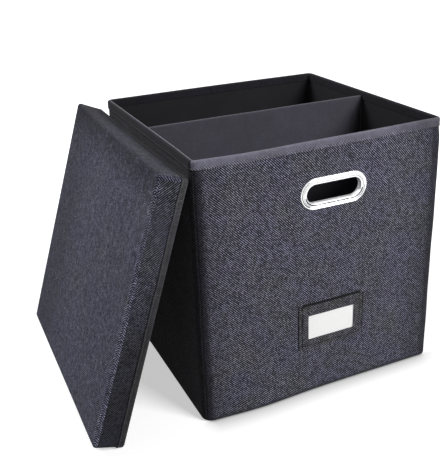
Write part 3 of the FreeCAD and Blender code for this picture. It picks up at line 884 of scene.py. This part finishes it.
def labelPocket(look):
    # rings that pass from the patch's outline to the window's outline in even shares, then the height above
    path = outline(look["width"], look["height"], look["cornerRadius"], look["grid"], look["cornerSteps"])
    outer = swept(path, [0.0], 0)[:, 0, :2] + look["centre"]
    innerHalves = np.array(look["window"]) / 2 - look["windowRadius"]
    inner = path["centre"] * innerHalves / path["halves"] + look["windowRadius"] * path["normal"]
    inner = inner + look["windowCentre"]
    share = np.r_[look["shares"][:2], np.linspace(*look["shares"][2:], look["rings"]), 1.0]
    flat = outer[:, None] + (inner - outer)[:, None] * share[None, :, None]
    x, z = flat[..., 0], flat[..., 1]
    high = pocketHeight(x, z, look)
    mouth = np.abs(pocketSides(look)[3] - z[:, 0]) < 1e-4
    high[:, 0] = np.where(mouth, high[:, 0] - look["turnedIn"], look["edge"])
    high[:, -1] -= look["turnedIn"]
    points = bowed(np.stack([x, frontY - high, z], 2))
    return makePiece(
        "labelPocket", points, gridQuads(*x.shape, True), cloths["pocketCloth"], "case", "case_cloth",
        (look["centre"][0], 0, look["centre"][1]), thickness=look["cloth"], replaced="label_pocket")


def pocketSeams(look):
    # two rows of stitches down the left and right edges, and one along the foot
    left, right, low, high = pocketSides(look)
    lines = [
        [(at, 0, high - look["rowTop"]), (at, 0, low + inset)]
        for inset in look["rows"] for at in (left + inset, right - inset)]
    inset = look["rows"][1]
    lines.append([(left + inset, 0, low + inset), (right - inset, 0, low + inset)])
    seams = [evenly(np.array(line, float), look["stitchPitch"], closed=False) for line in lines]
    at, along = (np.concatenate(part) for part in zip(*seams))
    at[:, 1] = frontY - pocketHeight(at[:, 0], at[:, 2], look) - look["rowSunk"]
    out = np.tile([0.0, -1.0, 0.0], (len(at), 1))
    return stitches("pocketStitches", at, along, out, look, darkThreadAndShadow, "case", "case_cloth")


def mouthShadow(look):
    # a near-black strip over the mouth's edge that paints the shadow of the gap behind it: an ellipse of eight points
    # carried along the edge
    left, right, _, top = pocketSides(look)
    inset = look["seam"] + look["shadowTapeInset"]
    x = np.linspace(left + inset, right - inset, 60)
    line = frontY - pocketHeight(x, np.full_like(x, top), look) + look["cloth"] / 2
    turn = np.arange(8)[:, None] / 8 * 2 * math.pi
    tall, deep = look["shadowTape"]
    y = line - deep * np.sin(turn)
    grid = bowed(np.stack([np.repeat(x[None], 8, 0), y, top + tall * np.cos(turn) + np.zeros_like(y)], 2))
    return makePiece(
        "pocketMouthShadow", *tube(grid), darkThreadAndShadow, "case", "case_cloth", (look["centre"][0], frontY, top))


labelPocket(pocket)
pocketSeams(pocket)
mouthShadow(pocket)
print("label pocket made")

baseBoard = {
    "width": 0.346, "depth": 0.3292, "low": 0.0015, "high": 0.0066, "cornerRadius": 0.003, "edge": 0.0018,
    "cloth": 0.0007, "turnIn": (0.022, 0.0038), "sag": 0.0003, "grid": 0.006,
}


def boardWrap(look):
    # From the turned-in edge underneath out to the side, a half turn of the edge radius up to the top, then in
    # to the middle as rings that shrink to a pole. The top sags, and carries the product of two sines.
    path = outline(look["width"], look["depth"], look["cornerRadius"], look["grid"])
    thick = look["high"] - look["low"]
    turn = np.linspace(-math.pi / 2, math.pi / 2, 15)
    inset = np.r_[np.linspace(*look["turnIn"], 6), look["edge"] * (1 - np.cos(turn))]
    height = np.r_[np.full(6, look["low"]), look["low"] + thick / 2 + thick / 2 * np.sin(turn)]
    grid = swept(path, inset, height)
    shares = np.linspace(1, 0, 26)[1:-1]
    top = grid[:, -1:, :2] * shares[None, :, None]
    waves = np.sin(40 * top[..., 0] + 1) * np.sin(37 * top[..., 1])
    tall = look["high"] + look["sag"] * (1 - shares ** 2) * (waves - 1)
    grid = np.concatenate([grid, np.concatenate([top, tall[..., None]], 2)], 1)
    piece = makePiece(
        "baseBoardWrap", *domed(grid, (0, 0, look["high"] - look["sag"])), cloths["liningCloth"], "base_board",
        "lining_cloth", (0, 0, 0.004), thickness=look["cloth"], replaced="base_board_wrap")


boardWrap(baseBoard)

divider = {
    "width": 0.346, "thickness": 0.0051, "low": 0.0069, "high": 0.363, "centreY": 0.008, "cornerRadius": 0.0024,
    "topRadius": 0.0018, "cloth": 0.0007, "wave": 0.00035, "waveRise": (0.03, 0.1), "waveEnds": 0.03,
    "capShares": (0.6, 0.25), "capInset": 0.0006, "grid": 0.004,
}


def dividerSleeve(look):
    # A slim rounded rectangle carried up to the top radius, a quarter turn inwards, then two rings that close in.
    # Long waves move both faces together by less than half a millimetre.
    path = outline(look["width"], look["thickness"], look["cornerRadius"], look["grid"])
    rows = np.linspace(look["low"], look["high"] - look["topRadius"], 88)
    below, inward = rounded(look["topRadius"], 6)
    grid = swept(path, np.r_[np.zeros(len(rows)), inward[1:]], np.r_[rows, look["high"] - below[1:]])
    shares = np.array(look["capShares"])
    cap = np.repeat(grid[:, -1:], 2, 1)
    cap[..., 1] *= shares
    cap[..., 0] -= np.sign(cap[..., 0]) * look["capInset"] * (1 - shares)
    grid = np.concatenate([grid, cap], 1)
    x, z = grid[..., 0], grid[..., 2]
    start, over = look["waveRise"]
    lift = np.clip((z - start) / over, 0, 1) * np.clip((look["width"] / 2 - np.abs(x)) / look["waveEnds"], 0, 1)
    wave = look["wave"] * (np.sin(31 * x + 12 * z + 0.6) + 0.6 * np.sin(57 * x - 21 * z)) * lift
    grid[..., 1] += look["centreY"] + wave
    n, m = grid.shape[:2]
    # the last ring closes on itself: sample i of the front meets sample (third corner - i) of the back
    lastRing, corners = np.arange(n) * m + m - 1, path["middles"]
    i = np.arange(-((n - corners[3]) // 2), corners[1] + (corners[2] - corners[1]) // 2 + 1)
    near, far = lastRing[i % n], lastRing[(corners[3] - i) % n]
    closing = np.stack([near[1:], far[1:], far[:-1], near[:-1]], 1)
    piece = makePiece(
        "dividerSleeve", grid, np.concatenate([gridQuads(n, m, True), closing]), cloths["sleeveCloth"], "divider",
        "divider_cloth", (0, look["centreY"], 0.18), thickness=look["cloth"], replaced="divider_sleeve")


dividerSleeve(divider)
print("base board and divider made")

lidShape = {
    "crown": 0.0010, "wave": 0.00035, "faceDepth": 0.004, "dentAt": (-0.165, 0.172), "dentSize": 0.006,
    "dentDepth": 0.0012, "tip": 0.0042, "tipReach": 0.05, "tipRise": (0.1, 0.18), "tipDepth": 0.04,
    "puff": 0.0024, "puffFall": (-0.18, 0.02), "puffDepth": 0.03, "skirtFrom": 0.0043,
    "cutShort": 0.0035, "liningShort": 0.003, "liningRadius": 0.0053, "liningEdge": 0.0012, "rings": (34, 20),
}
lidHemLook = {**rimHemLook, "height": 0.010, "waver": 0.00025, "fold": 0.0005, "shadedSide": "top"}


def lidWave(points, look):
    # The face swells by crown * (1 - u^4)(1 - v^4) and drifts in slow waves, all outward from the lid's middle, and
    # has a round dent. The upper rear corner is pulled up into a tip, which fades with exp(-(distance / reach)^2)
    # along the rim, and the face puffs out evenly towards its lower front corner. Both fade with the depth.
    x, y, z = np.moveaxis(points, -1, 0)
    u, v = np.clip(x / (lid["longSide"] / 2), -1, 1), np.clip(y / (lid["shortSide"] / 2), -1, 1)
    onFace = np.clip(1 - z / look["faceDepth"], 0, 1)
    waves = np.sin(23 * x + 11 * y + 0.7) + np.sin(17 * y - 31 * x) + 0.7 * np.sin(64 * x + 9 * y)
    swell = look["crown"] * (1 - u ** 4) * (1 - v ** 4) + look["wave"] * waves * (1 - u ** 8) * (1 - v ** 8)
    points = points.copy()
    points[..., 2] -= onFace * swell
    dx, dy = x - look["dentAt"][0], y - look["dentAt"][1]
    points[..., 2] += onFace * look["dentDepth"] * np.exp(-(dx ** 2 + dy ** 2) / look["dentSize"] ** 2)
    rear = np.exp(-((x - lid["longSide"] / 2) / look["tipReach"]) ** 2)
    lifted = eased(y, *look["tipRise"]) * (1 - np.clip(z / look["tipDepth"], 0, 1))
    points[..., 1] += look["tip"] * rear * lifted
    front = np.clip(0.5 - x / lid["longSide"], 0, 1)
    low = (1 - eased(y, *look["puffFall"])) * (1 - np.clip(z / look["puffDepth"], 0, 1))
    points[..., 2] -= look["puff"] * front * low
    return points


def lidTub(inset, top, cornerRadius, edgeRadius, rings):
    # rings from the middle of the face out to its edge, a quarter turn of the edge radius, then the skirt up
    path = outline(lid["longSide"] - 2 * inset, lid["shortSide"] - 2 * inset, cornerRadius, lid["grid"])
    inward, upward = rounded(edgeRadius, 9)
    skirt = np.linspace(inset + edgeRadius, top, 9)[1:]
    wall = swept(path, np.r_[inward, np.zeros(len(skirt))], np.r_[inset + upward, skirt])
    face = wall[:, :1, :2] * (np.arange(1, rings) / rings)[None, :, None]
    face = np.concatenate([face, np.full(face.shape[:2] + (1,), inset)], 2)
    grid = np.concatenate([face, wall], 1)
    n, m = grid.shape[:2]
    points = np.concatenate([grid.reshape(-1, 3), [[0, 0, inset]]])
    quads = np.concatenate([gridQuads(n, m, True), capFan(np.arange(n) * m, n * m)[:, [1, 0, 2, 2]]])
    return path, points, quads


def lidPieces(look):
    # outer cloth with its skirt in a second weave painted darker as shade, the hem round the rim with its stitches,
    # and the lining
    place = lidPlace()
    path, points, quads = lidTub(
        0, lid["height"] - look["cutShort"], lid["cornerRadius"], lid["edgeRadius"], look["rings"][0])
    points = lidWave(points, look)
    cloth = makePiece(
        "lidCloth", points, quads, cloths["lidCloth"], "lid", "case_cloth", lidMiddle, place,
        thickness=lid["cloth"], replaced="lid_cover")
    middle = points[quads].mean(1)
    belowTop = middle[:, 1] < lid["shortSide"] / 2 - lid["cornerRadius"]
    secondMaterial(cloth, cloths["skirtShadedCloth"], (middle[:, 2] > look["skirtFrom"]) & belowTop)
    hem, sewn = hemRing(
        ("lidHem", "lidStitches"), path, lidLayers, lid["height"], lidHemLook, "lidHemCloth", "lid", "lid_hem",
        lidMiddle, place)
    _, points, quads = lidTub(
        lid["cloth"] + lid["board"], lid["height"] - look["liningShort"], look["liningRadius"], look["liningEdge"],
        look["rings"][1])
    lining = makePiece(
        "lidLining", points, quads, cloths["liningCloth"], "lid", "lining_cloth", lidMiddle, place,
        thickness=lid["lining"], replaced="lid_lining")


lidPieces(lidShape)
print("lid made")

# what stays as the frame has it only takes a finish
boardNodes = [f"{side}_board_{end}" for side in ("left", "right") for end in ("front", "rear")]
boardNodes += [f"lid_{part}_board" for part in ("top", "foot", "head", "rear", "front")]
boardNodes += ["base_board_core", "divider_board"]
carriedOver = {**dict.fromkeys(boardNodes, greyboard), "label_window": clearFilm, "label_card": cardPaper}
for name, material in carriedOver.items():
    mesh = bpy.data.objects[name].data
    mesh.materials.clear()
    mesh.materials.append(material)
print("carried-over nodes finished")

# places and sizes in metres, lamps in watts, glow as emission strength
studio = {
    "floorSize": 16.0, "floorColour": (222, 222, 222), "bounceColour": (105, 105, 107), "floorGlow": 0.54,
    "farGlow": 1.0, "glowFrom": 0.5, "glowTo": 1.1, "ambient": 0.07,
    "shadeReach": 0.034, "shadePower": 0.85, "shadeLeft": (-0.185, -0.165), "shadeBack": (-0.166, -0.170),
    "lamps": {
        "keyLamp": {"place": (0.85, -1.75, 1.45), "target": (0.0, 0.0, 0.2), "size": 0.9, "power": 58},
        "topLamp": {"place": (-1.2, 0.75, 1.55), "target": (-0.2, 0.0, 0.2), "size": 0.8, "power": 31},
    },
}


def seenRay(tree):
    # 1 where the camera, a reflection or a transmitted ray looks, 0 for light that bounces
    ray = node(tree, "LightPath", output=None)
    share = calc(tree, "MAXIMUM", ray["Is Camera Ray"], ray["Is Glossy Ray"])
    return calc(tree, "MAXIMUM", share, ray["Is Transmission Ray"])


def makeFloor(look):
    half = look["floorSize"] / 2
    mesh = bpy.data.meshes.new("studioFloor")
    mesh.from_pydata([(-half, -half, 0), (half, -half, 0), (half, half, 0), (-half, half, 0)], [], [(0, 1, 2, 3)])
    thing = addObject("studioFloor", mesh)
    made, tree, shader = newMaterial("studioFloor")
    shown = seenRay(tree)
    # painted shadow: in front of the case the floor's colour and glow darken close to its wall, by the open share of
    # the sky to a power
    openSky = node(tree, "AmbientOcclusion", {"Distance": look["shadeReach"]}, "AO")
    x, y, _ = separate(tree, objectPoint(tree))
    before = times(tree, spread(tree, x, *look["shadeLeft"]), spread(tree, y, *look["shadeBack"]))
    light = calc(tree, "POWER", openSky, times(tree, before, look["shadePower"]))
    colour = blendColour(tree, shown, linear(look["bounceColour"]), linear(look["floorColour"]))
    # the glow grows with the distance from the middle, so that only the floor near the object keeps a shadow
    away = node(tree, "VectorMath", [objectPoint(tree)], "Value", operation="LENGTH")
    glow = spread(tree, away, look["glowFrom"], look["glowTo"], look["floorGlow"], look["farGlow"])
    fill(tree, shader, {
        "Base Color": scaled(tree, colour, light), "Roughness": 1.0, "Specular IOR Level": 0.0,
        "Emission Color": (1, 1, 1, 1), "Emission Strength": times(tree, times(tree, shown, glow), light)})
    mesh.materials.append(made)


def makeWorld(look):
    world = bpy.data.worlds.new("studioWorld")
    world.use_nodes = True
    tree = world.node_tree
    strength = spread(tree, seenRay(tree), 0, 1, look["ambient"], 1.0)
    fill(tree, tree.nodes["Background"], {"Color": (1, 1, 1, 1), "Strength": strength})
    scene.world = world


def makeLamps(look):
    for name, lamp in look["lamps"].items():
        data = bpy.data.lights.new(name, "AREA")
        data.size, data.energy = lamp["size"], lamp["power"]
        aim = Vector(lamp["target"]) - Vector(lamp["place"])
        turn = aim.to_track_quat("-Z", "Y").to_matrix().to_4x4()
        addObject(name, data).matrix_world = Matrix.Translation(lamp["place"]) @ turn


makeFloor(studio)
makeWorld(studio)
makeLamps(studio)
print("studio made")
